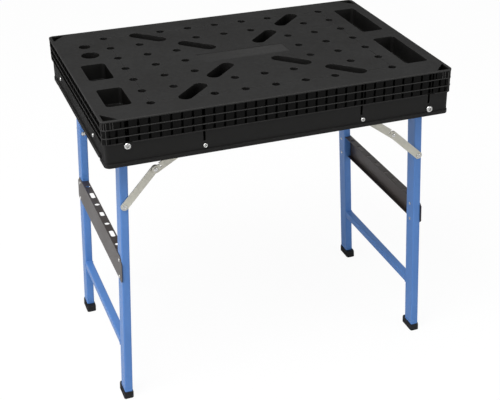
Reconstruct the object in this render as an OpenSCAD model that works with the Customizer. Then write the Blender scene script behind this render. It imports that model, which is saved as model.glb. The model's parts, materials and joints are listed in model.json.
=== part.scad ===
// Portable folding work table: ribbed moulded top with dog holes, two fold-in leg frames,
// four two-link lock braces. Millimetres. Origin on the floor under the middle of the top,
// +X to the right, +Z up, front edge towards -Y.

/* [Top] */
// Width of the moulded top
top_w = 860; // [850:2:870]
// Depth of the moulded top
top_d = 584; // [580:2:590]
// Height of the working surface above the floor
top_h = 790; // [780:2:800]
// Diameter of the dog holes
hole_d = 20; // [16:1:22]
// Depth of the long trays and pockets in the top
tray_depth = 44; // [34:1:45]

/* [Leg frames] */
// Splay of the opened legs, degrees
tilt = 2.8; // [2.4:0.1:3.0]
// Distance of each fold axis from the middle
pivot_x = 374; // [372:1:376]
// Wall of the leg tubes
tube_wall = 1.6; // [1.2:0.1:2.5]
// Size of the lower crossbar tubes
bar_size = 20; // [16:1:22]

/* [Braces] */
// Width of the brace links
link_w = 19; // [17:1:22]

/* [Output] */
// Sub-part to draw

/* [Hidden] */
$fn = 48;

// side is -1 on the left and 1 on the right, end is -1 at the front and 1 at the back.
// Pairs marked "left, right" are read with on_side(). Depths are measured down from the top.
function on_side(pair, side) = pair[side > 0 ? 1 : 0];

// top
deck = 4;                      // thickness of the working surface
tiers = [[deck, 20.5], [22.5, 40], [42, 55.5]];  // depths of the padded tiers of the band
band_depth = 58;
skirt_depth = 105;
rim_depth = 113.5;
rib_depth = 34;
boss_depth = 22;               // dog-hole bosses and corner pocket walls
left_tray_depth = 40;
pocket_wall = 3;
pitch = 75;                    // spacing of the dog holes
slot_w = 34;
slot_len = 71;                 // between the centres of the slot's round ends
skirt_x = top_w/2 - 4;         // outer faces of the skirt
skirt_y = top_d/2 - 5;
skirt_wall = 4;
pad_in = skirt_y - 10;         // pads inside the skirt, behind the pivots
pad_out = skirt_y - 3;
through_y = [270, 300];        // reach of the cuts through band and skirt

// pivots and fasteners
fold_depth = [66, 96];         // left, right: the right is lower so the frames stack
brace_pivot = [196, top_h - 95];  // upper brace pivot of the right side, x and z
pivot_d = 10;
brace_d = 8;
fit = 0.05;                    // radial running fit on pivots
side_screw_d = 6;
side_screw_y = 182;
side_screw_z = top_h - 76;
bracket_y = [192.5, 195.5];
collar_y = [242.05, 243.15];
collar_d = 12;

// leg frames
leg_x = 20;                    // leg tube section
leg_y = 40;
leg_in = 196;                  // inner and outer faces of the legs
leg_out = leg_in + leg_y;
leg_mid = leg_in + leg_y/2;
leg_shift = [2.5, 0];          // left, right: leg axis inboard of the fold axis
leg_reach = [176, 149];        // left, right: fold axis to brace pivot along the leg
leg_bottom = 9;                // height of the tube's lower end
bar_height = 149;
sheet = 1.6;                   // thickness of the rail panels
panel_top = top_h - 380;
panel_bottom = top_h - 446;
rivet_y = 216;
rivet_d = 4.8;
rivet_heights = [top_h - 393.5, top_h - 438.5];

// braces
link_low_y = [236.5, 239.5];
link_up_y = [242, 245];
link_slack = [2.9, 0.4];       // left, right: both links together minus the opened gap

blue = [0.20, 0.40, 0.75];
black = [0.07, 0.07, 0.07];
zinc = [0.75, 0.75, 0.72];

// ---------- helpers ----------
// rounded rectangle about the origin
function rounded(width, depth, radius, steps = 6) = [for (q = [0:3]) for (k = [0:steps])
  let (angle = q*90 + k*90/steps,
       x = (q == 0 || q == 3) ? width/2 - radius : -(width/2 - radius),
       y = (q < 2) ? depth/2 - radius : -(depth/2 - radius))
  [x + radius*cos(angle), y + radius*sin(angle)]];

// stadium with its round ends centred on (0,0) and (length,0)
function stadium(length, width, steps = 16) = concat(
  [for (k = [0:steps]) let (a = -90 + 180*k/steps) [length + width/2*cos(a), width/2*sin(a)]],
  [for (k = [0:steps]) let (a = 90 + 180*k/steps) [width/2*cos(a), width/2*sin(a)]]);

// cylinder along y at [x, z], between two distances from the middle of the table
module rod(at, from, to, diameter, end) {
  translate([at[0], end*from, at[1]]) rotate([end > 0 ? -90 : 90, 0, 0])
    cylinder(d = diameter, h = to - from);
}

// coaxial steps, each row: from, to, diameter
module rod_stack(at, end, steps) for (row = steps) rod(at, row[0], row[1], row[2], end);
module stack(steps) for (row = steps)
  translate([0, 0, row[0]]) cylinder(d = row[2], h = row[1] - row[0]);

// a shape drawn in the x-z plane about [x, z], thick along y over a span
module plate(at, span, end) {
  translate([at[0], end > 0 ? span[1] : -span[0], at[1]]) rotate([90, 0, 0])
    linear_extrude(span[1] - span[0]) children();
}

// a shape seen from above, between two depths below the working surface
module layer(from, to) translate([0, 0, top_h - to]) linear_extrude(to - from) children();

// box near the front or back edge, from spans in x, in distance from the middle and in depth
module edge_box(x, y, depth, end) {
  translate([x[0], end > 0 ? y[0] : -y[1], top_h - depth[1]])
    cube([x[1] - x[0], y[1] - y[0], depth[1] - depth[0]]);
}

// ---------- placing ----------
function fold_z(side) = top_h - on_side(fold_depth, side);
function fold_axis(side) = [side*pivot_x, fold_z(side)];

// children read $at (x and z) and $end
module pivots() for (end = [-1, 1]) for (side = [-1, 1]) {
  $at = fold_axis(side);
  $end = end;
  children();
}
module brace_pivots() for (end = [-1, 1]) for (side = [-1, 1]) {
  $at = [side*brace_pivot[0], brace_pivot[1]];
  $end = end;
  children();
}
module at_side_screw(side, end) {
  translate([side*skirt_x, end*side_screw_y, side_screw_z]) rotate([0, side*90, 0]) children();
}
module at_side_screws() for (side = [-1, 1]) for (end = [-1, 1]) at_side_screw(side, end) children();
module side_screw_hole() translate([0, 0, -20]) cylinder(d = side_screw_d, h = 30);

// ---------- band of the top: tiers of pads between upright grooves ----------
pad_inset = 1.6;               // pads lie inside the plain rings
pad_radius = 11;
groove = 9.4;                  // depth of the grooves
groove_half = 2.9;             // usual half width
groove_step = 24.8;
shallow_groove = 3.8;
end_rib_half = 1.1;            // thin ribs along the left and right ends

// grooves: centre, half width, depth
shared_grooves = concat([[-373.5, 4.6, groove]],
  [for (k = [-14:14]) if (abs(k) != 8) [groove_step*k, groove_half, groove]],
  [[-198.4, 3.6, groove], [190.6, 2.9, groove], [198.2, 2.4, groove],
   [369.9, 3.3, groove], [378, 2.4, groove]]);
top_grooves = concat(shared_grooves, [[-386.2, 1.6, 4.5], [386.2, 1.6, 4.5]]);
low_grooves = concat(shared_grooves,
  [[-396.8, 2.9, groove], [396.8, 2.9, groove], [-412.3, 2, 4], [412.3, 2, 4]]);
end_grooves = concat([[-276.8, 2.4, shallow_groove]],
  [for (k = [-10.5:10.5]) [groove_step*k, groove_step/2 - end_rib_half,
    abs(k) > 10 ? shallow_groove : groove]],
  [[276.8, 2.4, shallow_groove]]);

// grooves sorted by centre
function by_place(list) = len(list) <= 1 ? list :
  let (middle = list[floor(len(list)/2)][0])
  concat(by_place([for (g = list) if (g[0] < middle) g]),
         [for (g = list) if (g[0] == middle) g],
         by_place([for (g = list) if (g[0] > middle) g]));
function reversed(list) = [for (i = [len(list) - 1:-1:0]) list[i]];

// grooved edge as points: place along the edge, depth
function grooved(grooves) = [for (g = grooves)
  for (p = [[-g[1], 0], [-g[1], g[2]], [g[1], g[2]], [g[1], 0]]) [g[0] + p[0], p[1]]];
function corner_arc(x, y, start) =
  [for (k = [0:6]) [x + pad_radius*cos(start + 15*k), y + pad_radius*sin(start + 15*k)]];

// outline of one tier, walked once round: front, right, back, left
function tier_outline(grooves) =
  let (half_w = top_w/2 - pad_inset, half_d = top_d/2 - pad_inset,
       arc_x = half_w - pad_radius, arc_y = half_d - pad_radius,
       long = grooved(by_place(grooves)), short = grooved(end_grooves))
  concat(
    [for (p = long) [p[0], -half_d + p[1]]], corner_arc(arc_x, -arc_y, -90),
    [for (p = short) [half_w - p[1], p[0]]], corner_arc(arc_x, arc_y, 0),
    [for (p = reversed(long)) [p[0], half_d - p[1]]], corner_arc(-arc_x, arc_y, 90),
    [for (p = reversed(short)) [-half_w + p[1], p[0]]], corner_arc(-arc_x, -arc_y, 180));

module band_bore() square([top_w - 28, top_d - 28], center = true);
module pad_ring(grooves) difference() {
  polygon(tier_outline(grooves));
  band_bore();
}
module plain_ring(inset = 0) difference() {
  polygon(rounded(top_w - 2*inset, top_d - 2*inset, 12 - inset));
  band_bore();
}
module band() {
  layer(tiers[0][0], tiers[0][1]) pad_ring(top_grooves);
  layer(tiers[0][1], tiers[1][0]) plain_ring();
  layer(tiers[1][0], tiers[1][1]) pad_ring(low_grooves);
  layer(tiers[1][1], tiers[2][0]) plain_ring();
  layer(tiers[2][0], tiers[2][1]) pad_ring(low_grooves);
  layer(tiers[2][1], band_depth) plain_ring(0.8);
}

// ---------- skirt below the band ----------
module skirt_bore() polygon(rounded(2*(skirt_x - skirt_wall), 2*(skirt_y - skirt_wall), 6));
module side_lips(length) for (side = [-1, 1])
  translate([side*(skirt_x - 0.5), 0]) square([7, length], center = true);
module skirt() {
  layer(band_depth, skirt_depth) difference() {
    polygon(rounded(2*skirt_x, 2*skirt_y, 10));
    skirt_bore();
  }
  // rim left standing only along the front and back
  layer(skirt_depth, rim_depth) difference() {
    polygon(rounded(2*skirt_x + 3, 2*skirt_y + 7, 14));
    skirt_bore();
    square([top_w + 20, 476], center = true);
  }
  layer(97, skirt_depth) side_lips(490);
  layer(skirt_depth, 108.5) side_lips(470);
}

// ---------- holes, pockets and ribs of the top ----------
// dog-hole columns of each row from the back, in units of the pitch
hole_rows = [[-4, -2, -1, 0, 1, 2, 4],
  [-4, -3, -1, 0, 1, 3, 4],
  [-4, -3, -2, 2, 3, 4], [-4, -3, -2, 2, 3, 4], [-4, -3, -2, 2, 3, 4],
  [-4, -3, -1, 0, 1, 3, 4],
  [-4, -2, -1, 0, 1, 2, 4]];
module at_holes() for (j = [0:6]) for (i = hole_rows[j])
  translate([i*pitch, (3 - j)*pitch, 0]) children();

// long pockets at 45 degrees: centres in the right back quarter
slot_centres = [[192, 194.5], [91.5, 92.8]];
module slots(wall) for (c = slot_centres) for (side = [-1, 1]) for (end = [-1, 1])
  translate([side*c[0], end*c[1]]) rotate(side*end*45) translate([-slot_len/2, 0])
    polygon(stadium(slot_len, slot_w + 2*wall, 12));

// two right trays and two round pockets at the left
module trays(wall) {
  for (end = [-1, 1]) translate([372, end*123])
    polygon(rounded(60 + 2*wall, 190 + 2*wall, 9));
  translate([-359, 117.5]) circle(d = 45 + 2*wall);
  translate([-359, 182]) circle(d = 29 + 2*wall);
}
module left_trays(wall) {
  translate([-369, 1.8]) polygon(rounded(59 + 2*wall, 106 + 2*wall, 9));
  translate([-369, -162.7]) polygon(rounded(59 + 2*wall, 107 + 2*wall, 9));
}
// triangular pockets
module corner_pockets(wall) for (side = [-1, 1]) for (end = [-1, 1])
  translate([side*(top_w/2 - 7), end*(top_d/2 - 5)]) scale([-side, -end])
    polygon([[-wall, -wall], [34 + 2.4*wall, -wall], [-wall, 38 + 2.4*wall]]);

// material left round the holes and pockets
module pocket_walls() {
  layer(deck, boss_depth) at_holes() circle(d = hole_d + 6);
  layer(deck, tray_depth + pocket_wall) {
    trays(pocket_wall);
    slots(pocket_wall);
  }
  layer(deck, left_tray_depth + pocket_wall) left_trays(pocket_wall);
  layer(deck, boss_depth) intersection() {
    corner_pockets(pocket_wall);
    square([top_w - 20, top_d - 20], center = true);
  }
}
module pocket_cuts() {
  layer(-1, 30) at_holes() circle(d = hole_d);
  layer(-1, tray_depth) {
    trays(0);
    slots(0);
  }
  layer(-1, left_tray_depth) left_trays(0);
  layer(-1, 19) corner_pockets(0);
}

module underside_ribs() {
  between_holes = [for (k = [0.5:3.5]) k*pitch];
  layer(deck, rib_depth) for (x = concat(between_holes, [331])) for (side = [-1, 1])
    translate([side*x, 0]) square([3, top_d - 24], center = true);
  layer(deck, rib_depth) for (y = between_holes) for (end = [-1, 1])
    translate([0, end*y]) square([top_w - 24, 3], center = true);
}

// central recess, and a shallow groove through the outer rows of holes
module surface_marks() {
  layer(-1, 0.6) polygon(rounded(230, 56, 6));
  layer(-1, 0.8) difference() {
    square([8*pitch + 2, 6*pitch + 2], center = true);
    square([8*pitch - 2, 6*pitch - 2], center = true);
  }
}

// deep slits: from x, to x, depth of the post behind, openings in the band,
// left edge of the opening in the skirt (unused where the post is shallow)
deep_slits = [
  [-202, -194.8, 86, [[-202, -194.8]], -200.2],
  [187.7, 200.6, 86, [[187.7, 193.5], [195.8, 200.6]], 189.6],
  [366.6, 380.4, 84, [[366.6, 373.2], [375.6, 380.4]], 368.6],
  [-378.1, -368.9, 56, [[-378.1, -368.9]], 0]];
skirt_slit_w = 5.6;
module slit_posts() for (end = [-1, 1]) for (slit = deep_slits)
  edge_box([slit[0] - 3, slit[1] + 3], [skirt_y - 20, pad_out], [3, slit[2]], end);
module slit_cuts() for (end = [-1, 1]) for (slit = deep_slits) {
  slit_depth = slit[2] - 2;
  for (tier = tiers) for (opening = slit[3]) edge_box(opening, through_y, tier, end);
  if (slit_depth > band_depth)
    edge_box([slit[4], slit[4] + skirt_slit_w], through_y, [band_depth, slit_depth], end);
}

module pivot_pads() {
  pivots() rod($at, pad_in, pad_out, 30, $end);
  brace_pivots() rod($at, pad_in, pad_out, 22, $end);
}
module pivot_cuts() {
  // reliefs above the pivot heads
  pivots() edge_box([$at[0] - 10, $at[0] + 10], [skirt_y, skirt_y + 20], [tiers[2][1], 77], $end);
  pivots() rod($at, through_y[0], through_y[1], pivot_d, $end);
  brace_pivots() rod($at, through_y[0], through_y[1], brace_d, $end);
}

module worktop() color(black) difference() {
  union() {
    layer(0, deck) polygon(rounded(top_w, top_d, 12));
    band();
    skirt();
    underside_ribs();
    pocket_walls();
    pivot_pads();
    slit_posts();
  }
  pocket_cuts();
  surface_marks();
  slit_cuts();
  pivot_cuts();
  at_side_screws() side_screw_hole();
}

// ---------- fasteners of the top ----------
module pivot_bolts() color(zinc) pivots() difference() {
  rod_stack($at, $end, [[skirt_y, skirt_y + 4.6, 17], [skirt_y + 4.6, skirt_y + 5.6, 14],
    [181.5, skirt_y, pivot_d]]);
  rod($at, skirt_y + 2, skirt_y + 8, 8, $end, $fn = 6);
}
module pivot_nuts() color(zinc) pivots() difference() {
  union() {
    rod($at, 183, 191, 19.6, $end, $fn = 6);
    rod($at, 191, bracket_y[0], 21, $end);
  }
  rod($at, 180, 195, pivot_d, $end);
}
module pivot_sleeves() color(zinc) pivots() difference() {
  rod($at, leg_out + 0.2, pad_in, 17, $end);
  rod($at, 230, 280, pivot_d, $end);
}
module brace_bolts() color(zinc) brace_pivots() difference() {
  rod_stack($at, $end, [[skirt_y, skirt_y + 3.4, 11.5], [skirt_y + 3.4, skirt_y + 4.2, 9],
    [collar_y[0], skirt_y, brace_d]]);
  rod($at, skirt_y + 1.5, skirt_y + 8, 5, $end, $fn = 6);
}
// flush collars peened on the inner ends of the brace bolts, let into the upper links
module brace_collars() color(zinc) brace_pivots() difference() {
  rod($at, collar_y[0], collar_y[1], collar_d, $end);
  rod($at, 240, 246, brace_d, $end);
}
module brace_sleeves() color(zinc) brace_pivots() difference() {
  rod($at, link_up_y[1] + 0.2, pad_in, 14, $end);
  rod($at, 240, 280, brace_d, $end);
}
module side_screws() color(zinc) at_side_screws()
  stack([[0, 2.4, 9.5], [2.4, 3.3, 7.2], [-14.5, 0, side_screw_d]]);
module side_nuts() color(zinc) at_side_screws() difference() {
  translate([0, 0, -12]) cylinder(d = 11.5, h = 5, $fn = 6);
  translate([0, 0, -15]) cylinder(d = side_screw_d, h = 10);
}

// inner support of a fold axis: plate beside the leg, folded onto the side skirt
module bracket(side, end) color(zinc) {
  wall_x = skirt_x - skirt_wall;
  plate_x = 358;
  thick = bracket_y[1] - bracket_y[0];
  tab_w = 27.5;
  low_z = min(fold_z(side), side_screw_z) - 14;
  high_z = min(max(fold_z(side), side_screw_z) + 14, top_h - band_depth - 0.5);
  difference() {
    union() {
      translate([side > 0 ? plate_x : -wall_x, end > 0 ? bracket_y[0] : -bracket_y[1], low_z])
        cube([wall_x - plate_x, thick, high_z - low_z]);
      translate([side > 0 ? wall_x - thick : -wall_x,
                 end > 0 ? bracket_y[1] - tab_w : -bracket_y[1], low_z])
        cube([thick, tab_w, high_z - low_z]);
    }
    rod(fold_axis(side), 180, 200, pivot_d, end);
    at_side_screw(side, end) side_screw_hole();
  }
}
module bracket_fl() bracket(-1, -1);
module bracket_bl() bracket(-1, 1);
module bracket_fr() bracket(1, -1);
module bracket_br() bracket(1, 1);

// ---------- leg frames, drawn along the leg with the outer side at +X ----------
module leg_space(side) {
  translate([side*pivot_x, 0, fold_z(side)]) mirror([side > 0 ? 0 : 1, 0, 0])
    rotate([0, -tilt, 0]) translate([-on_side(leg_shift, side), 0, 0]) children();
}
// place along the leg of a height above the floor
function along(side, height) = -(fold_z(side) - height)/cos(tilt);
function leg_brace_at(side) = [0, -on_side(leg_reach, side)];

module at_panel_rivets(side, end) for (height = rivet_heights)
  translate([0, end*rivet_y, along(side, height)]) rotate([0, 90, 0]) children();
module tube_section(width, depth, bore_radius) difference() {
  polygon(rounded(width, depth, 3, 3));
  polygon(rounded(width - 2*tube_wall, depth - 2*tube_wall, bore_radius, 3));
}

module leg(side, end) color(blue) leg_space(side) {
  bottom = along(side, leg_bottom);
  difference() {
    translate([0, end*leg_mid, bottom]) linear_extrude(12 - bottom)
      tube_section(leg_x, leg_y, 1.6);
    rod([on_side(leg_shift, side), 0], 190, 240, pivot_d + 2*fit, end);
    rod(leg_brace_at(side), 190, 240, brace_d, end);
    at_panel_rivets(side, end) translate([0, 0, -15]) cylinder(d = rivet_d, h = 30);
  }
}
module leg_fl() leg(-1, -1);
module leg_bl() leg(-1, 1);
module leg_fr() leg(1, -1);
module leg_br() leg(1, 1);

module crossbar(side) color(blue) leg_space(side)
  translate([0, 0, along(side, bar_height)]) rotate([90, 0, 0]) translate([0, 0, -leg_in])
    linear_extrude(2*leg_in) tube_section(bar_size, bar_size, 1.4);
module crossbar_left() crossbar(-1);
module crossbar_right() crossbar(1);

// tool-holder rail: flat web outside the legs, pierced flange folded in between them
module panel(side) color(black) leg_space(side) {
  top = along(side, panel_top);
  bottom = along(side, panel_bottom);
  web_x = leg_x/2;
  flange_y = leg_in - 0.5;
  difference() {
    union() {
      translate([web_x, 0, 0]) rotate([90, 0, 90]) linear_extrude(sheet)
        polygon([[-240, bottom + 6], [-234, bottom], [234, bottom], [240, bottom + 6],
                 [240, top - 16], [222, top], [-222, top], [-240, top - 16]]);
      translate([-7.5, -flange_y, top - sheet]) cube([web_x + 7.5, 2*flange_y, sheet]);
      translate([0, -flange_y, bottom]) cube([web_x, 2*flange_y, sheet]);
    }
    for (end = [-1, 1]) at_panel_rivets(side, end)
      translate([0, 0, 5]) cylinder(d = rivet_d, h = 12);
    translate([1.5, 0, top - 5]) linear_extrude(10) {
      for (y = [-162, -54, 54, 162]) translate([0, y]) circle(d = 12.5);
      for (y = [-107.5, 107.5]) translate([0, y]) polygon(rounded(11, 32, 4.5, 5));
      polygon(rounded(10.6, 23, 4, 5));
    }
  }
}
module panel_left() panel(-1);
module panel_right() panel(1);

module panel_rivets(side) color(zinc) leg_space(side) for (end = [-1, 1])
  at_panel_rivets(side, end) stack([[-10, 11.6, rivet_d],
    [11.6, 12.8, 9], [12.8, 13.5, 6.4], [-11.2, -10, 8.4], [-11.8, -11.2, 6]]);
module panel_rivets_left() panel_rivets(-1);
module panel_rivets_right() panel_rivets(1);

// shoe round the tube's lower end, cut level with the floor
module foot(side, end) color(black) difference() {
  foot_y = 211;
  leg_space(side) difference() {
    top = along(side, 20);
    union() {
      translate([0, end*foot_y, top]) translate([0, 0, -40]) linear_extrude(36)
        polygon(rounded(24.5, 54, 5, 4));
      translate([0, end*foot_y, top - 4.01]) linear_extrude(4.01)
        polygon(rounded(23, 52.4, 4.4, 4));
    }
    translate([0, end*leg_mid, along(side, leg_bottom)]) linear_extrude(60)
      polygon(rounded(leg_x, leg_y, 3, 3));
  }
  translate([side*400 - 100, -400, -100]) cube([200, 800, 100]);
}
module foot_fl() foot(-1, -1);
module foot_bl() foot(-1, 1);
module foot_fr() foot(1, -1);
module foot_br() foot(1, 1);

// shoulder rivets that carry the lower links
module brace_rivets(side) color(zinc) leg_space(side) for (end = [-1, 1]) {
  at = leg_brace_at(side);
  rod_stack(at, end, [[leg_in, 239.6, brace_d], [leg_in - 2.2, leg_in, 12]]);
  difference() {
    rod_stack(at, end, [[239.6, 240.9, 11.5], [240.9, 241.6, 9]]);
    rod(at, 240.6, 245, 3.6, end);
  }
}
module brace_rivets_left() brace_rivets(-1);
module brace_rivets_right() brace_rivets(1);

// ---------- lock braces, worked out for the right side and mirrored for the left ----------
// left, right: upper link length minus lower; the right is just under the folded gap
link_diff = [9, norm([pivot_x - leg_reach[1], fold_z(1)] - brace_pivot) - 0.3];

// lower brace pivot, on the leg
function leg_pivot(side) = let (reach = on_side(leg_reach, side), shift = on_side(leg_shift, side))
  [pivot_x + reach*sin(tilt) - shift*cos(tilt), fold_z(side) - reach*cos(tilt) - shift*sin(tilt)];
function gap(side) = norm(brace_pivot - leg_pivot(side));
function low_len(side) = (gap(side) + on_side(link_slack, side) - on_side(link_diff, side))/2;
function up_len(side) = (gap(side) + on_side(link_slack, side) + on_side(link_diff, side))/2;
function angle_of(v) = atan2(v[1], v[0]);
function low_angle(side) = let (low = low_len(side), up = up_len(side), gap = gap(side))
  angle_of(brace_pivot - leg_pivot(side)) - acos((low*low + gap*gap - up*up)/(2*low*gap));
function joint(side) =
  leg_pivot(side) + low_len(side)*[cos(low_angle(side)), sin(low_angle(side))];
function up_angle(side) = angle_of(joint(side) - brace_pivot);

module side_space(side) mirror([side > 0 ? 0 : 1, 0, 0]) children();

module link_low(side, end) color(zinc) side_space(side) difference() {
  plate(leg_pivot(side), link_low_y, end) rotate(low_angle(side))
    polygon(stadium(low_len(side), link_w));
  rod(leg_pivot(side), 230, 245, brace_d + 2*fit, end);
  rod(joint(side), 230, 245, brace_d, end);
}

// plate drawn along the upper link from its upper pivot
module along_link_up(side, span, end) plate(brace_pivot, span, end) rotate(up_angle(side)) children();
module link_up(side, end) color(zinc) side_space(side) difference() {
  cut = [240, 250];
  catch_x = up_len(side) - 14;
  along_link_up(side, link_up_y, end) polygon(stadium(up_len(side), link_w));
  rod(brace_pivot, cut[0], cut[1], brace_d + 2*fit, end);
  rod(brace_pivot, cut[0], collar_y[1] + 0.1, collar_d + 2*fit, end);
  rod(joint(side), cut[0], cut[1], brace_d, end);
  // spring hole and catch slot beside the middle joint
  along_link_up(side, cut, end) translate([catch_x, 0]) circle(d = 4.5, $fn = 24);
  along_link_up(side, cut, end) translate([catch_x, 7.5]) rotate(18)
    polygon(stadium(13, 3.6, 8));
}
module link_low_fl() link_low(-1, -1);
module link_low_bl() link_low(-1, 1);
module link_low_fr() link_low(1, -1);
module link_low_br() link_low(1, 1);
module link_up_fl() link_up(-1, -1);
module link_up_bl() link_up(-1, 1);
module link_up_fr() link_up(1, -1);
module link_up_br() link_up(1, 1);

module mid_rivet(side, end) color(zinc) side_space(side)
  rod_stack(joint(side), end, [[link_up_y[0], link_up_y[1], brace_d],
    [link_up_y[1], 246.5, 10.5], [246.5, 247.3, 8], [239.8, link_up_y[0], 12]]);
module mid_rivet_fl() mid_rivet(-1, -1);
module mid_rivet_bl() mid_rivet(-1, 1);
module mid_rivet_fr() mid_rivet(1, -1);
module mid_rivet_br() mid_rivet(1, 1);

module mid_tail(side, end) color(zinc) side_space(side)
  rod(joint(side), link_low_y[0], link_low_y[1], brace_d, end);
module mid_tail_fl() mid_tail(-1, -1);
module mid_tail_bl() mid_tail(-1, 1);
module mid_tail_fr() mid_tail(1, -1);
module mid_tail_br() mid_tail(1, 1);

// ---------- output ----------
worktop();
bracket_fl();
bracket_bl();
bracket_fr();
bracket_br();
side_screws();
side_nuts();
pivot_bolts();
pivot_nuts();
pivot_sleeves();
brace_bolts();
brace_collars();
brace_sleeves();
leg_fl();
leg_bl();
crossbar_left();
panel_left();
panel_rivets_left();
foot_fl();
foot_bl();
brace_rivets_left();
leg_fr();
leg_br();
crossbar_right();
panel_right();
panel_rivets_right();
foot_fr();
foot_br();
brace_rivets_right();
link_low_fl();
link_up_fl();
link_low_bl();
link_up_bl();
link_low_fr();
link_up_fr();
link_low_br();
link_up_br();
mid_rivet_fl();
mid_rivet_bl();
mid_rivet_fr();
mid_rivet_br();
mid_tail_fl();
mid_tail_bl();
mid_tail_fr();
mid_tail_br();
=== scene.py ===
# A folding work table: a moulded black worktop on two blue leg frames, left and right, with
# braces, links and plated fasteners. Metres, +Z up: x runs left (-) to right (+), y runs
# front (-) to back (+), and the floor is z = 0.
# The CAD pieces keep their shapes. The fasteners are turned afresh, and weld beads and fins added.
import json
import math

import bmesh
import bpy
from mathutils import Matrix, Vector


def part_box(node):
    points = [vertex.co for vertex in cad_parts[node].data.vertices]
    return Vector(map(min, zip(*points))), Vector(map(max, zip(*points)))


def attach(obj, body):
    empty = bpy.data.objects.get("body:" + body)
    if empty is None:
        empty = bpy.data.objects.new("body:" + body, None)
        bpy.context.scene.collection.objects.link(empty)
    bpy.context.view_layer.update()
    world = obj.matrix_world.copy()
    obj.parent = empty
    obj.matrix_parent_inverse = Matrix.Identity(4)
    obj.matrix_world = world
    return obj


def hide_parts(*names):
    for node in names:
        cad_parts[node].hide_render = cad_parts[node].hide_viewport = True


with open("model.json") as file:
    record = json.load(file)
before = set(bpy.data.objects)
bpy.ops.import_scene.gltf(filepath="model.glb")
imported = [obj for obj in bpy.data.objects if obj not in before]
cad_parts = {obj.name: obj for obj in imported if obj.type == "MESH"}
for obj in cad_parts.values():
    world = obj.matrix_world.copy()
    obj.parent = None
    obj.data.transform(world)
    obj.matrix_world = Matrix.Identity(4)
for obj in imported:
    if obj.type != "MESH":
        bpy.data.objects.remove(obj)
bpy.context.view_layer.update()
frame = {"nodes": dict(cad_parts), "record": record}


nodes = frame["nodes"]
scene = bpy.context.scene

SIDES = {"left": -1, "right": 1}
TOP_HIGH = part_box("worktop")[1]
TOP_Z = TOP_HIGH.z
# half depth of the worktop, read from the points within 3 mm of its upper face
TOP_Y = max(abs(v.co.y) for v in nodes["worktop"].data.vertices if v.co.z > TOP_Z - 0.003)
LEG_TILT = math.radians(2.8)
SLOT_OF = {part["node"]: part["material_slot"] for part in frame["record"]["subparts"]}


# ---------------------------------------------------------------- shader helpers
class Nodes:
    """Lays out a node tree. A value may be a number, a tuple or another node's output."""

    def __init__(self, tree):
        self.tree = tree

    def feed(self, socket, value):
        if isinstance(value, (int, float)):
            socket.default_value = value
        elif isinstance(value, tuple):
            socket.default_value = (*value, 1) if socket.type == "RGBA" else value
        else:
            self.tree.links.new(value, socket)

    def node(self, kind, inputs=None, **settings):
        node = self.tree.nodes.new(kind)
        for key, value in settings.items():
            setattr(node, key, value)
        for key, value in (inputs or {}).items():
            self.feed(node.inputs[key], value)
        return node

    def coords(self, scale=(1, 1, 1)):
        place = self.node("ShaderNodeTexCoord").outputs["Object"]
        return self.node("ShaderNodeMapping", {"Scale": scale, "Vector": place}).outputs["Vector"]

    def noise(self, place, scale, detail, rough, distortion=0.0):
        inputs = {
            "Scale": scale, "Detail": detail, "Roughness": rough,
            "Distortion": distortion, "Vector": place,
        }
        return self.node("ShaderNodeTexNoise", inputs).outputs["Fac"]

    def remap(self, value, span, to=(0, 1)):
        """Map a span of values linearly to another, clamped."""
        inputs = {
            "From Min": span[0], "From Max": span[1],
            "To Min": to[0], "To Max": to[1], "Value": value,
        }
        return self.node("ShaderNodeMapRange", inputs).outputs["Result"]

    def math(self, operation, first, second):
        return self.node("ShaderNodeMath", {0: first, 1: second}, operation=operation).outputs[0]

    def times(self, first, second):
        return self.math("MULTIPLY", first, second)

    def vector(self, operation, first, second=None):
        inputs = {0: first} if second is None else {0: first, 1: second}
        node = self.node("ShaderNodeVectorMath", inputs, operation=operation)
        return node.outputs["Value" if operation in ("LENGTH", "DOT_PRODUCT") else "Vector"]

    def mix(self, factor, first, second):
        inputs = {0: factor, 6: first, 7: second}
        return self.node("ShaderNodeMix", inputs, data_type="RGBA").outputs[2]

    def bump(self, height, strength, distance, normal=None):
        inputs = {"Strength": strength, "Distance": distance, "Height": height}
        if normal is not None:
            inputs["Normal"] = normal
        return self.node("ShaderNodeBump", inputs).outputs["Normal"]

    def soft(self, radius):
        """Normals as if the edges were rounded."""
        return self.node("ShaderNodeBevel", {"Radius": radius}, samples=4).outputs["Normal"]

    def edge(self, radius):
        """0 on faces and 1 on sharp edges, from the rounded normal against the flat one."""
        rounded = self.soft(radius)
        flat = self.node("ShaderNodeNewGeometry").outputs["True Normal"]
        return self.remap(self.vector("DOT_PRODUCT", rounded, flat), span=(0.995, 0.85))

    def uneven(self, rough, below, above, broad, close, swing):
        """Roughness that varies with a broad noise, and by +-swing with a close one."""
        return self.math(
            "ADD",
            self.remap(broad, span=(0.25, 0.75), to=(rough - below, rough + above)),
            self.remap(close, span=(0.3, 0.7), to=(-swing, swing)),
        )


class Material(Nodes):
    def __init__(self, name):
        self.data = bpy.data.materials.new(name)
        self.data.use_nodes = True
        super().__init__(self.data.node_tree)
        self.bsdf = self.tree.nodes["Principled BSDF"]

    def surface(self, **values):
        """Feed the Principled sockets, named with _ for each space, and return the material."""
        for key, value in values.items():
            self.feed(self.bsdf.inputs[key.replace("_", " ")], value)
        return self.data


def srgb(red, green, blue):
    def linear(level):
        level /= 255
        return level / 12.92 if level <= 0.04045 else ((level + 0.055) / 1.055) ** 2.4

    return (linear(red), linear(green), linear(blue))


def tone(colour, gain, lift=0.0):
    return tuple(min(1, level * gain + lift) for level in colour)


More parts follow.
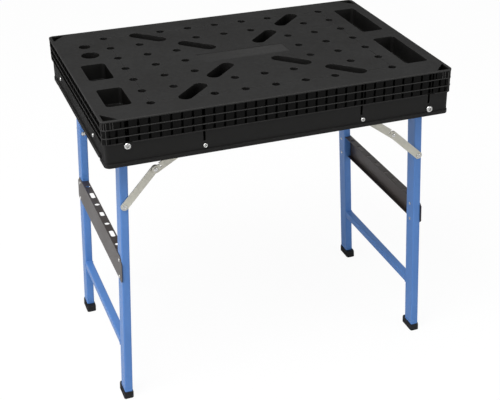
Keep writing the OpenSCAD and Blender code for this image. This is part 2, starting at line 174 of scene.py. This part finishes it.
# ---------------------------------------------------------------- materials
def worktop_zones(mat, colour, rough, gloss, cloud, fine, base, light, highlight_lift):
    """Vary the moulding by place, with painted shade and highlights: the side band, the deck's
    rim, ribs and middle panel.
    """
    # colour of the painted highlights on the raised ring lines and the deck's outer edge
    highlight_colour = tone(light, gain=2.6, lift=highlight_lift)
    place = mat.vector("ABSOLUTE", mat.coords())
    # level distance outside the rectangle that joins the corner centres
    beyond = mat.vector("SUBTRACT", place, (0.418, 0.280, 0))
    beyond = mat.vector("MAXIMUM", beyond, (0, 0, 0))
    outside = mat.vector("LENGTH", mat.vector("MULTIPLY", beyond, (1, 1, 0)))
    split = mat.node("ShaderNodeSeparateXYZ", {0: place}).outputs
    height = split["Z"]

    # side band: painted shade in the recessed panels, a painted highlight on the raised ring lines
    # between them
    band = mat.times(
        mat.remap(height, span=(TOP_Z - 0.0588, TOP_Z - 0.0580)),
        mat.remap(height, span=(TOP_Z - 0.0046, TOP_Z - 0.0038), to=(1, 0)),
    )
    rim = mat.remap(outside, span=(0.0109, 0.0114))
    side = mat.remap(outside, span=(0.0002, 0.0012))
    shaded_pads = mat.times(mat.times(band, side), mat.math("SUBTRACT", 1.0, rim))
    rings = mat.times(band, rim)
    below_band = mat.remap(height, span=(TOP_Z - 0.0590, TOP_Z - 0.0582), to=(1, 0))
    colour = mat.mix(mat.times(shaded_pads, 0.8), colour, tone(base, gain=0.45))
    # painted highlight on the raised ring lines
    colour = mat.mix(mat.times(rings, 0.36), colour, highlight_colour)

    # painted highlight along the outer edge of the deck
    rim_highlight = mat.times(
        mat.remap(height, span=(TOP_Z - 0.0026, TOP_Z - 0.0016)),
        mat.remap(outside, span=(0.0106, 0.0116)),
    )
    colour = mat.mix(mat.times(rim_highlight, 0.6), colour, highlight_colour)

    # faint sink marks over the ribs: a grid of lines inside the deck
    top = mat.remap(height, span=(TOP_Z - 0.0012, TOP_Z - 0.0008))
    inside = mat.times(
        mat.remap(split["X"], span=(0.318, 0.320), to=(1, 0)),
        mat.remap(split["Y"], span=(0.270, 0.272), to=(1, 0)),
    )
    rib_pitch = 0.0375
    lines = [
        mat.remap(mat.math("PINGPONG", split[axis], rib_pitch), span=(0.0362, 0.0373))
        for axis in ("X", "Y")
    ]
    sink = mat.times(
        mat.times(mat.math("MAXIMUM", *lines), inside),
        mat.times(top, mat.remap(fine, span=(0.35, 0.6), to=(0.2, 0.5))),
    )
    colour = mat.mix(sink, colour, tone(base, gain=0.3))

    # smoother middle panel with a painted sheen that fades towards its left end
    panel = mat.times(
        mat.remap(split["X"], span=(0.108, 0.116), to=(1, 0)),
        mat.remap(split["Y"], span=(0.022, 0.030), to=(1, 0)),
    )
    signed_x = mat.node("ShaderNodeSeparateXYZ", {0: mat.coords()}).outputs["X"]
    fade = mat.remap(signed_x, span=(-0.12, 0.03), to=(0.25, 1))
    panel = mat.times(mat.times(panel, top), fade)
    rough = mat.math("SUBTRACT", rough, mat.times(panel, 0.10))
    # painted sheen over the panel, in cloudy spots
    patches = mat.remap(cloud, span=(0.4, 0.65), to=(0.1, 0.45))
    colour = mat.mix(mat.times(panel, patches), colour, tone(light, gain=1.9, lift=0.010))

    gloss = mat.times(gloss, mat.remap(shaded_pads, span=(0, 1), to=(1.0, 0.3)))
    gloss = mat.times(gloss, mat.remap(below_band, span=(0, 1), to=(1.0, 0.8)))
    return colour, rough, gloss


def plastic(name, base, light, grain, rough, spec, edge_highlight, highlight_lift, zones=False):
    """Grained moulding. The two edge arguments set the strength of a painted highlight along the
    edges and how far it lightens.
    """
    mat = Material(name)
    place = mat.coords()
    cloud = mat.noise(place, scale=7, detail=5, rough=0.6)
    fine = mat.noise(place, scale=90, detail=4, rough=0.6)
    colour = mat.mix(mat.remap(cloud, span=(0.3, 0.7)), base, light)
    # scuffs, drawn out along y
    streaks = mat.noise(mat.coords((34, 5, 34)), scale=6, detail=6, rough=0.72, distortion=0.6)
    scuff = mat.remap(streaks, span=(0.62, 0.74), to=(0, 0.22))
    colour = mat.mix(scuff, colour, tone(light, gain=2.2, lift=0.01))
    # painted highlight along the edges, a lighter tone of the material
    edge = mat.edge(radius=0.0015)
    colour = mat.mix(mat.times(edge, edge_highlight), colour, tone(light, gain=2.6, lift=highlight_lift))
    roughness = mat.uneven(rough, below=0.06, above=0.07, broad=cloud, close=fine, swing=0.03)
    pebbles = mat.node(
        "ShaderNodeTexVoronoi",
        {"Scale": grain, "Smoothness": 0.5, "Vector": place},
        feature="SMOOTH_F1",
    ).outputs["Distance"]
    rounded = mat.soft(radius=0.0014)
    normal = mat.bump(pebbles, strength=0.35, distance=0.00012, normal=rounded)
    normal = mat.bump(fine, strength=0.06, distance=0.0004, normal=normal)
    # the grain shades itself at a grazing angle
    facing = mat.node("ShaderNodeLayerWeight").outputs["Facing"]
    gloss = mat.remap(facing, span=(0.56, 0.74), to=(spec, spec * 0.12))
    if zones:
        colour, roughness, gloss = worktop_zones(
            mat, colour, roughness, gloss, cloud, fine, base, light, highlight_lift
        )
    return mat.surface(
        Base_Color=colour, Roughness=roughness, Specular_IOR_Level=gloss, Normal=normal
    )


def powder(name, base, light, rough, peel, spec, metal, coat):
    """Powder coat: orange peel of the given scale, edges chipped to the metal colour."""
    mat = Material(name)
    place = mat.coords()
    cloud = mat.noise(place, scale=5, detail=4, rough=0.55)
    orange_peel = mat.noise(place, scale=peel, detail=2, rough=0.5)
    fine = mat.noise(place, scale=260, detail=4, rough=0.6)
    colour = mat.mix(mat.remap(cloud, span=(0.3, 0.7)), base, light)
    chips = mat.noise(place, scale=330, detail=3, rough=0.6)
    edge = mat.edge(radius=0.0009)
    chip_strength = 0.25
    chip = mat.times(mat.times(edge, mat.remap(chips, span=(0.6, 0.66))), chip_strength)
    # painted highlight along the edges
    colour = mat.mix(mat.times(edge, 0.25), colour, tone(light, gain=1.35, lift=0.01))
    colour = mat.mix(chip, colour, metal)
    return mat.surface(
        Base_Color=colour,
        Roughness=mat.uneven(rough, below=0.05, above=0.05, broad=cloud, close=fine, swing=0.03),
        Specular_IOR_Level=spec,
        Normal=mat.bump(orange_peel, strength=0.22, distance=0.00018, normal=mat.soft(0.0008)),
        Coat_Weight=coat,
        Coat_Roughness=0.25,
    )


def plated(name, base, light, rough, metallic, brush):
    """Plated steel. brush is the noise scale on x, y and z, low along the brushing."""
    mat = Material(name)
    place = mat.coords()
    cloud = mat.noise(place, scale=26, detail=5, rough=0.65)
    lines = mat.noise(mat.coords(brush), scale=1.0, detail=4, rough=0.7)
    spangle = mat.node("ShaderNodeTexVoronoi", {"Scale": 220, "Vector": place}, feature="F1")
    cells = spangle.outputs["Distance"]
    colour = mat.mix(mat.remap(cloud, span=(0.3, 0.72)), base, light)
    cell_tint = mat.remap(cells, span=(0.1, 0.7), to=(0.0, 0.16))
    colour = mat.mix(cell_tint, colour, tone(base, gain=0.86))
    # painted shade in the crevices, from ambient occlusion
    crevice = mat.node("ShaderNodeAmbientOcclusion", {"Distance": 0.004}, samples=4)
    crevice_shade = mat.remap(crevice.outputs["AO"], span=(0.35, 0.9), to=(0.55, 0.0))
    colour = mat.mix(crevice_shade, colour, tone(base, gain=0.35))
    return mat.surface(
        Base_Color=colour,
        Metallic=metallic,
        Roughness=mat.uneven(rough, below=0.07, above=0.09, broad=cloud, close=lines, swing=0.05),
        Normal=mat.bump(lines, strength=0.10, distance=0.00006),
    )


MATERIALS = {
    "plastic_black": plastic(
        "moulded_black", srgb(11, 11, 10), srgb(16, 15, 14),
        grain=2600, rough=0.5, spec=0.33, edge_highlight=0.5, highlight_lift=0.035, zones=True,
    ),
    "blue_paint": powder(
        "blue_powder_coat", srgb(75, 123, 189), srgb(83, 130, 196),
        rough=0.42, peel=900, spec=0.42, metal=(0.45, 0.45, 0.44), coat=0.16,
    ),
    "black_paint": powder(
        "black_powder_coat", srgb(52, 45, 43), srgb(60, 52, 49),
        rough=0.36, peel=1100, spec=0.5, metal=(0.3, 0.29, 0.28), coat=0.0,
    ),
    "zinc_steel": plated(
        "zinc_plate", srgb(196, 194, 183), srgb(216, 214, 202),
        rough=0.44, metallic=0.55, brush=(6, 900, 900),
    ),
    "zinc_bright": plated(
        "bright_zinc", srgb(206, 206, 204), srgb(228, 228, 226),
        rough=0.24, metallic=1.0, brush=(500, 500, 8),
    ),
}
# lighter copy of the moulded black: the fins carry a painted highlight
LIT_FIN_MATERIAL = plastic(
    "moulded_black_lit_fins", srgb(24, 24, 23), srgb(32, 31, 30),
    grain=2600, rough=0.46, spec=0.4, edge_highlight=0.7, highlight_lift=0.06,
)
MATERIALS["foot_rubber"] = plastic(
    "foot_plastic", srgb(16, 16, 18), srgb(24, 24, 27),
    grain=1800, rough=0.58, spec=0.3, edge_highlight=0.45, highlight_lift=0.012,
)


# ---------------------------------------------------------------- CAD nodes
# edge rounding by the start of the node's name
BEVELS = {
    "worktop": 0.0, "leg": 0.0006, "crossbar": 0.0006, "panel_left": 0.0005,
    "panel_right": 0.0005, "foot": 0.0014, "link": 0.0006, "bracket": 0.0005,
    "pivot_nuts": 0.0008, "side_nuts": 0.0006,
}
OTHER_BEVEL = 0.0003


def dress(part, slot, width):
    """Give a CAD piece its material and, unless the width is 0, rounded edges."""
    mesh = part.data
    if "custom_normal" in mesh.attributes:
        mesh.attributes.remove(mesh.attributes["custom_normal"])
    mesh.materials.clear()
    mesh.materials.append(MATERIALS[slot])
    for polygon in mesh.polygons:
        polygon.use_smooth = width > 0
        polygon.material_index = 0
    part.modifiers.new("weld", "WELD").merge_threshold = 2e-6
    if width == 0:
        # the moulding keeps its own faces: its edges are rounded in the material
        return
    planes = part.modifiers.new("planes", "DECIMATE")
    planes.decimate_type = "DISSOLVE"
    planes.angle_limit = math.radians(1.0)
    edges = part.modifiers.new("edges", "BEVEL")
    edges.width = width
    edges.segments = 2
    edges.limit_method = "ANGLE"
    edges.angle_limit = math.radians(32)
    edges.use_clamp_overlap = True
    edges.miter_outer = "MITER_ARC"
    shade = part.modifiers.new("shade", "WEIGHTED_NORMAL")
    shade.keep_sharp = True
    shade.weight = 90


for name, part in nodes.items():
    widths = (width for prefix, width in BEVELS.items() if name.startswith(prefix))
    dress(part, SLOT_OF[name], next(widths, OTHER_BEVEL))


# ---------------------------------------------------------------- mesh helpers
def add_object(name, data):
    added = bpy.data.objects.new(name, data)
    scene.collection.objects.link(added)
    return added


def mesh_object(name, solid):
    mesh = bpy.data.meshes.new(name)
    solid.to_mesh(mesh)
    solid.free()
    return add_object(name, mesh)


def piece(name, solid, slot, body, replaced=None, angle=40, material=None):
    """Finish a bmesh as a piece that rides on a body and may replace a CAD node."""
    bmesh.ops.recalc_face_normals(solid, faces=solid.faces)
    added = mesh_object(name, solid)
    mesh = added.data
    mesh.materials.append(material or MATERIALS[slot])
    for polygon in mesh.polygons:
        polygon.use_smooth = True
    mesh.set_sharp_from_angle(angle=math.radians(angle))
    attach(added, body)
    if replaced:
        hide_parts(replaced)


def bridge(solid, lower, upper):
    """Join two closed rings of vertices with quads."""
    count = len(lower)
    for i in range(count):
        j = (i + 1) % count
        solid.faces.new((lower[i], lower[j], upper[j], upper[i]))


def islands(node):
    """The separate solids of a CAD node, as lists of points."""
    solid = bmesh.new()
    solid.from_mesh(nodes[node].data)
    bmesh.ops.remove_doubles(solid, verts=solid.verts, dist=2e-6)
    seen, found = set(), []
    for start in solid.verts:
        if start.index in seen:
            continue
        stack, points = [start], []
        seen.add(start.index)
        while stack:
            vert = stack.pop()
            points.append(vert.co.copy())
            for edge in vert.link_edges:
                other = edge.other_vert(vert)
                if other.index not in seen:
                    seen.add(other.index)
                    stack.append(other)
        found.append(points)
    solid.free()
    return found


# ---------------------------------------------------------------- turned fasteners
# A profile lists (height along the axis, radius) from the inner end to the outer one.
def hexagon(apothem):
    """Radius of a hexagonal outline as a function of the angle."""
    def radius(angle):
        off_flat = (angle + math.pi / 6) % (math.pi / 3) - math.pi / 6
        return apothem / math.cos(off_flat)
    return radius


def steps(datum, *points):
    """Profile points whose heights are given from a datum."""
    return [(datum + height, radius) for height, radius in points]


def dome(height0, radius0, height1, radius1, count):
    """Quarter-round profile from a wall (its point left out) to a flat crown."""
    turns = [math.pi / 2 * k / count for k in range(1, count + 1)]
    return [
        (height0 + (height1 - height0) * math.sin(a), radius1 + (radius0 - radius1) * math.cos(a))
        for a in turns
    ]


def lathe(solid, centre, axis, profile, turn, segments):
    """Turn a profile about an axis and close its ends with fans."""
    side = axis.orthogonal().normalized()
    other = axis.cross(side)
    rings = []
    for height, radius in profile:
        ring = []
        for i in range(segments):
            angle = 2 * math.pi * i / segments
            reach = radius(angle) if callable(radius) else radius
            spoke = side * math.cos(angle + turn) + other * math.sin(angle + turn)
            ring.append(solid.verts.new(centre + axis * height + spoke * reach))
        rings.append(ring)
    for lower, upper in zip(rings, rings[1:]):
        bridge(solid, lower, upper)
    for ring, (height, _) in ((rings[0], profile[0]), (rings[-1], profile[-1])):
        hub = solid.verts.new(centre + axis * height)
        for i in range(segments):
            solid.faces.new((ring[i], ring[(i + 1) % segments], hub))


def facing(k):
    """Placer for fasteners that point outward along coordinate k."""
    def place(points):
        axis = Vector()
        axis[k] = 1 if sum(p[k] for p in points) > 0 else -1
        flat = [p - axis * p.dot(axis) for p in points]
        low = Vector([min(p[i] for p in flat) for i in range(3)])
        high = Vector([max(p[i] for p in flat) for i in range(3)])
        return (low + high) / 2, axis
    return place


FACING_X = facing(0)
FACING_Y = facing(1)


def leg_across(sign):
    """Direction across a leaning leg frame, towards +x."""
    return Vector((math.cos(LEG_TILT), 0, sign * math.sin(LEG_TILT)))


def across_leg(sign):
    """Placer for rivets that lie across a leaning leg frame."""
    def place(points):
        axis = (leg_across(sign) * sign).normalized()
        middles = []
        for tip in (min(points, key=lambda p: sign * p.x), max(points, key=lambda p: sign * p.x)):
            end = [p for p in points if abs(p.x - tip.x) < 0.0012]
            middles.append(sum(end, Vector()) / len(end))
        centre = (middles[0] + middles[1]) / 2
        return centre - axis * centre.dot(axis), axis
    return place


def turned(name, node, body, place, profile, turn=0.0, turn_step=0.0, segments=36):
    """Replace each solid of a CAD node by a turned one of the same length."""
    solid = bmesh.new()
    for k, points in enumerate(islands(node)):
        centre, axis = place(points)
        heights = [p.dot(axis) for p in points]
        outline = profile(min(heights), max(heights))
        lathe(solid, centre, axis, outline, turn + turn_step * k, segments)
    piece(name, solid, SLOT_OF[node], body, node)


def button_head(head, radius, shank, socket):
    """Button-head socket screw: head height, head and shank radii, socket apothem."""
    def profile(low, high):
        base = high - head
        return [
            *steps(low, (0, shank * 0.8), (0.0008, shank)),
            *steps(base, (0.00005, shank), (0.00005, radius - 0.0002)),
            *steps(base, (0.0005, radius), (0.0009, radius)),
            *dome(base + 0.0009, radius, high, socket + 0.0012, 9),
            *steps(high, (-0.0001, hexagon(socket + 0.0003)), (-0.0005, hexagon(socket))),
            (high - head * 0.62, hexagon(socket)),
        ]
    return profile


def side_screw(low, high):
    base = high - 0.0033
    socket = hexagon(0.0018)
    return [
        *steps(low, (0, 0.0024), (0.0006, 0.003)),
        *steps(base, (0, 0.003), (0, 0.0046), (0.0004, 0.00475), (0.0008, 0.00475)),
        *dome(base + 0.0008, 0.00475, high, 0.0024, 7),
        *steps(high, (-0.0003, socket), (-0.0018, socket)),
    ]


def blind_rivet(low, high):
    return [
        *steps(
            low, (0, 0.0006), (0.0001, 0.0016), (0.0005, 0.0030),
            (0.0011, 0.0041), (0.0018, 0.0042), (0.0018, 0.0024),
        ),
        *steps(high, (-0.0019, 0.0024), (-0.0019, 0.0045), (-0.0015, 0.0045)),
        *dome(high - 0.0015, 0.0045, high, 0.0014, 6),
        *steps(high, (-0.0003, 0.0011), (-0.0008, 0.0010)),
    ]


def leg_rivet(low, high):
    base = high - 0.002
    sines = [math.sin(math.pi / 2 * k / 6) for k in range(1, 7)]
    return [
        (low, 0.0015),
        *[(low + 0.0022 * sine * 0.86, 0.0015 + 0.0045 * sine) for sine in sines],
        *steps(low, (0.0022, 0.006), (0.0022, 0.004)),
        *steps(base, (0, 0.004), (0, 0.00565), (0.0004, 0.00575), (0.0008, 0.00575)),
        *dome(base + 0.0008, 0.00575, high, 0.0034, 7),
        *steps(high, (-0.0002, 0.0024), (-0.0006, 0.0020), (-0.0013, 0.0018)),
    ]


def joint_rivet(low, high):
    return [
        *steps(low, (0, 0.0042), (0.0003, 0.0054), (0.0008, 0.006), (0.0022, 0.006)),
        (low + 0.0022, 0.004),
        *steps(high, (-0.0023, 0.004), (-0.0023, 0.00515), (-0.0019, 0.00525)),
        # the dome stops short of its pole, at a small flat
        *dome(high - 0.0019, 0.00526, high, 0.00001, 9)[:-1],
        (high, 0.0004),
    ]


PIVOT_BOLT = button_head(head=0.0056, radius=0.0085, shank=0.005, socket=0.0032)
BRACE_BOLT = button_head(head=0.0042, radius=0.00575, shank=0.004, socket=0.0021)
for kind, bolt in (("pivot", PIVOT_BOLT), ("brace", BRACE_BOLT)):
    turned(
        f"{kind}_bolt_heads", f"{kind}_bolts", "top", FACING_Y, bolt, turn=0.35, turn_step=0.7
    )
turned("side_screw_heads", "side_screws", "top", FACING_X, side_screw, turn_step=0.5)
for side, sign in SIDES.items():
    body = f"frame_{side}"
    turned(
        f"blind_rivets_{side}", f"panel_rivets_{side}", body,
        across_leg(sign), blind_rivet, segments=28,
    )
    turned(f"leg_rivets_{side}", f"brace_rivets_{side}", body, FACING_Y, leg_rivet)
for corner in ("fl", "bl", "fr", "br"):
    turned(
        f"joint_rivet_{corner}", f"mid_rivet_{corner}", f"brace_up_{corner}",
        FACING_Y, joint_rivet,
    )


# ---------------------------------------------------------------- weld beads
BAR_HALF = 0.0100  # half width of the square crossbar
BAR_CORNER = 0.003
BEAD_RADIUS = 0.0017
BEAD_SINK = 0.0002  # how far the bead's centre line lies inside the bar, from its side and end
CORNER_STEPS = 9
SIDE_STEPS = 14
BEAD_SEGMENTS = 8


def bar_outline(right, up):
    """(Corner-arc centre or point between two of them, outward direction) round the bar."""
    run = BAR_HALF - BAR_CORNER
    signs = ((1, 1), (-1, 1), (-1, -1), (1, -1))
    corners = [right * (run * i) + up * (run * j) for i, j in signs]
    path = []
    for k, corner in enumerate(corners):
        for i in range(CORNER_STEPS + 1):
            angle = math.pi / 2 * k + math.pi / 2 * i / CORNER_STEPS
            outward = right * math.cos(angle) + up * math.sin(angle)
            path.append((corner, outward))
        # the straight run to the next corner keeps the last direction
        following = corners[(k + 1) % 4]
        for i in range(1, SIDE_STEPS):
            path.append((corner.lerp(following, i / SIDE_STEPS), outward))
    return path


def bead(solid, path, along, seed):
    """A rippled bead swept along a closed path of (point, outward direction)."""
    rings = []
    for i, (point, outward) in enumerate(path):
        ripple = 1 + 0.13 * math.sin(i * 2 * math.pi / 5.2 + seed)
        ripple += 0.06 * math.sin(i * 1.7 + 2.1 * seed)
        ring = []
        for k in range(BEAD_SEGMENTS):
            angle = 2 * math.pi * k / BEAD_SEGMENTS
            spoke = outward * math.cos(angle) + along * math.sin(angle)
            ring.append(solid.verts.new(point + spoke * BEAD_RADIUS * ripple))
        rings.append(ring)
    for i, ring in enumerate(rings):
        bridge(solid, ring, rings[(i + 1) % len(rings)])


def weld_beads(side, sign):
    """Beads where the two ends of a crossbar meet the legs."""
    low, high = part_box(f"crossbar_{side}")
    middle = (low + high) / 2
    right = leg_across(sign)
    up = Vector((-right.z, 0, right.x))
    outline = bar_outline(right, up)
    solid = bmesh.new()
    for end, end_y in ((-1, low.y), (1, high.y)):
        centre = Vector((middle.x, end_y - end * BEAD_SINK, middle.z))
        path = [(centre + point + out * (BAR_CORNER - BEAD_SINK), out) for point, out in outline]
        bead(solid, path, Vector((0, -end, 0)), seed=1.3 + end)
    piece(f"weld_beads_{side}", solid, "blue_paint", f"frame_{side}", angle=75)


for side, sign in SIDES.items():
    weld_beads(side, sign)


# ---------------------------------------------------------------- corner fins
CORNER_INSET = 0.0126  # centre of the corner bend, in from the worktop's sides
FIN_FOOT = 0.0108  # radius of the fins' feet about that centre
FIN_DEPTH = 0.0015
FIN_OVERLAP = 0.0002  # extra height at each end
# upper and lower end below the top, degrees from the corner's diagonal,
# and distances in from the worktop's end for the fins on the long side
FIN_ROWS = (
    (0.004, 0.0205, (-38, -13, 13, 38), (0.0205, 0.0265)),
    (0.0225, 0.040, (-30, 30), ()),
    (0.042, 0.0555, (-30, 30), ()),
)


def fin(solid, foot, outward, sideways, width, heights):
    """A tapered upright fin with a rounded outer edge."""
    round_steps = 5
    shoulder = FIN_DEPTH * 0.82
    outline = [(-width * 0.62, 0.0), (-width * 0.5, shoulder)]
    for k in range(1, round_steps):
        angle = math.pi * k / round_steps
        reach = shoulder + FIN_DEPTH * 0.18 * math.sin(angle)
        outline.append((-width * 0.5 * math.cos(angle), reach))
    outline += [(width * 0.5, shoulder), (width * 0.62, 0.0)]
    lower, upper = [
        [solid.verts.new(Vector((foot.x, foot.y, z)) + sideways * u + outward * v)
         for u, v in outline]
        for z in heights
    ]
    bridge(solid, lower, upper)
    solid.faces.new(lower[::-1])
    solid.faces.new(upper)


def corner_fins(solid, sign_x, sign_y):
    bend_x = sign_x * (TOP_HIGH.x - CORNER_INSET)
    bend = Vector((bend_x, sign_y * (TOP_Y - CORNER_INSET), 0))
    for start, end, angles, insets in FIN_ROWS:
        heights = (TOP_Z - end - FIN_OVERLAP, TOP_Z - start + FIN_OVERLAP)
        for degrees in angles:
            angle = math.atan2(sign_y, sign_x) + math.radians(degrees)
            outward = Vector((math.cos(angle), math.sin(angle), 0))
            sideways = Vector((-outward.y, outward.x, 0))
            fin(solid, bend + outward * FIN_FOOT, outward, sideways, 0.0013, heights)
        for inset in insets:
            foot_y = sign_y * (TOP_Y - CORNER_INSET + FIN_FOOT)
            foot = Vector((sign_x * (TOP_HIGH.x - inset), foot_y, 0))
            fin(solid, foot, Vector((0, sign_y, 0)), Vector((1, 0, 0)), 0.0012, heights)


solid = bmesh.new()
for sign_x in (-1, 1):
    for sign_y in (-1, 1):
        corner_fins(solid, sign_x, sign_y)
piece("corner_fins", solid, "plastic_black", "top", angle=50, material=LIT_FIN_MATERIAL)


# ---------------------------------------------------------------- floor, light, camera
def floor_material():
    """Matt white that glows to the camera only."""
    mat = Material("floor_white")
    patches = mat.noise(mat.coords(), scale=3, detail=3, rough=0.5)
    mat.surface(
        Base_Color=mat.mix(patches, (0.66, 0.66, 0.66), (0.69, 0.69, 0.69)),
        Roughness=0.85,
        Specular_IOR_Level=0.05,
    )
    seen = mat.node("ShaderNodeLightPath").outputs["Is Camera Ray"]
    glow = mat.node("ShaderNodeEmission", {"Strength": 1.04, "Color": (1, 1, 1)})
    share = mat.times(seen, 0.9)
    both = mat.node(
        "ShaderNodeMixShader", {0: share, 1: mat.bsdf.outputs[0], 2: glow.outputs[0]}
    )
    mat.feed(mat.tree.nodes["Material Output"].inputs["Surface"], both.outputs[0])
    return mat.data


def stage_floor(cells=24, half_size=40.0):
    solid = bmesh.new()
    marks = [(i / cells - 0.5) * 2 * half_size for i in range(cells + 1)]
    grid = [[solid.verts.new((x, y, 0)) for y in marks] for x in marks]
    for i in range(cells):
        for j in range(cells):
            corners = (grid[i][j], grid[i + 1][j], grid[i + 1][j + 1], grid[i][j + 1])
            solid.faces.new(corners)
    floor = mesh_object("floor", solid)
    floor.data.materials.append(floor_material())


def area(name, place, target, size, energy):
    light = bpy.data.lights.new(name, "AREA")
    light.shape = "RECTANGLE"
    light.size, light.size_y = size
    light.energy = energy
    lamp = add_object(name, light)
    lamp.location = place
    aim = Vector(target) - Vector(place)
    lamp.rotation_euler = aim.to_track_quat("-Z", "Y").to_euler()


def studio_world():
    """White to the camera, a soft grey gradient to everything else."""
    world = bpy.data.worlds.new("studio")
    scene.world = world
    world.use_nodes = True
    tree = Nodes(world.node_tree)
    tree.tree.nodes.clear()
    seen = tree.node("ShaderNodeLightPath").outputs["Is Camera Ray"]
    backdrop = tree.node("ShaderNodeBackground", {"Color": (1, 1, 1), "Strength": 1.0})
    generated = tree.node("ShaderNodeTexCoord").outputs["Generated"]
    height = tree.node("ShaderNodeSeparateXYZ", {0: generated}).outputs["Z"]
    ramp = tree.node("ShaderNodeValToRGB", {"Fac": tree.remap(height, span=(-1, 1))})
    # position on the ramp, grey level
    stops = ((0.45, 0.75), (0.9, 0.62))
    for element, (position, grey) in zip(ramp.color_ramp.elements, stops):
        element.position = position
        element.color = (grey, grey, grey, 1)
    ambient = tree.node(
        "ShaderNodeBackground", {"Color": ramp.outputs["Color"], "Strength": 0.8}
    )
    both = tree.node(
        "ShaderNodeMixShader", {0: seen, 1: ambient.outputs[0], 2: backdrop.outputs[0]}
    )
    tree.node("ShaderNodeOutputWorld", {"Surface": both.outputs[0]})


def add_camera():
    lens = bpy.data.cameras.new("camera")
    lens.sensor_fit = "HORIZONTAL"
    lens.sensor_width = 36.0
    lens.lens = 77.081
    lens.shift_x = -0.07232
    lens.shift_y = 0.02277
    lens.clip_start = 0.05
    lens.clip_end = 200
    camera = add_object("camera", lens)
    camera.rotation_euler = [math.radians(a) for a in (61.21941, -0.14383, -21.83524)]
    camera.location = (-0.84304, -2.38458, 1.72662)
    scene.camera = camera


stage_floor()
area("key", (-1.4, -1.0, 3.4), target=(0, 0, 0.6), size=(2.0, 2.0), energy=88)
area("fill_left", (-4.2, -0.9, 1.5), target=(0, 0, 0.5), size=(3.0, 2.4), energy=46)
area("fill_front", (2.6, -3.6, 1.8), target=(0, 0, 0.5), size=(2.6, 2.0), energy=24)
studio_world()
add_camera()

scene.view_settings.view_transform = "Standard"
scene.view_settings.look = "None"
scene.view_settings.exposure = 0.0
scene.view_settings.gamma = 1.0
scene.cycles.use_denoising = True
scene.cycles.max_bounces = 8
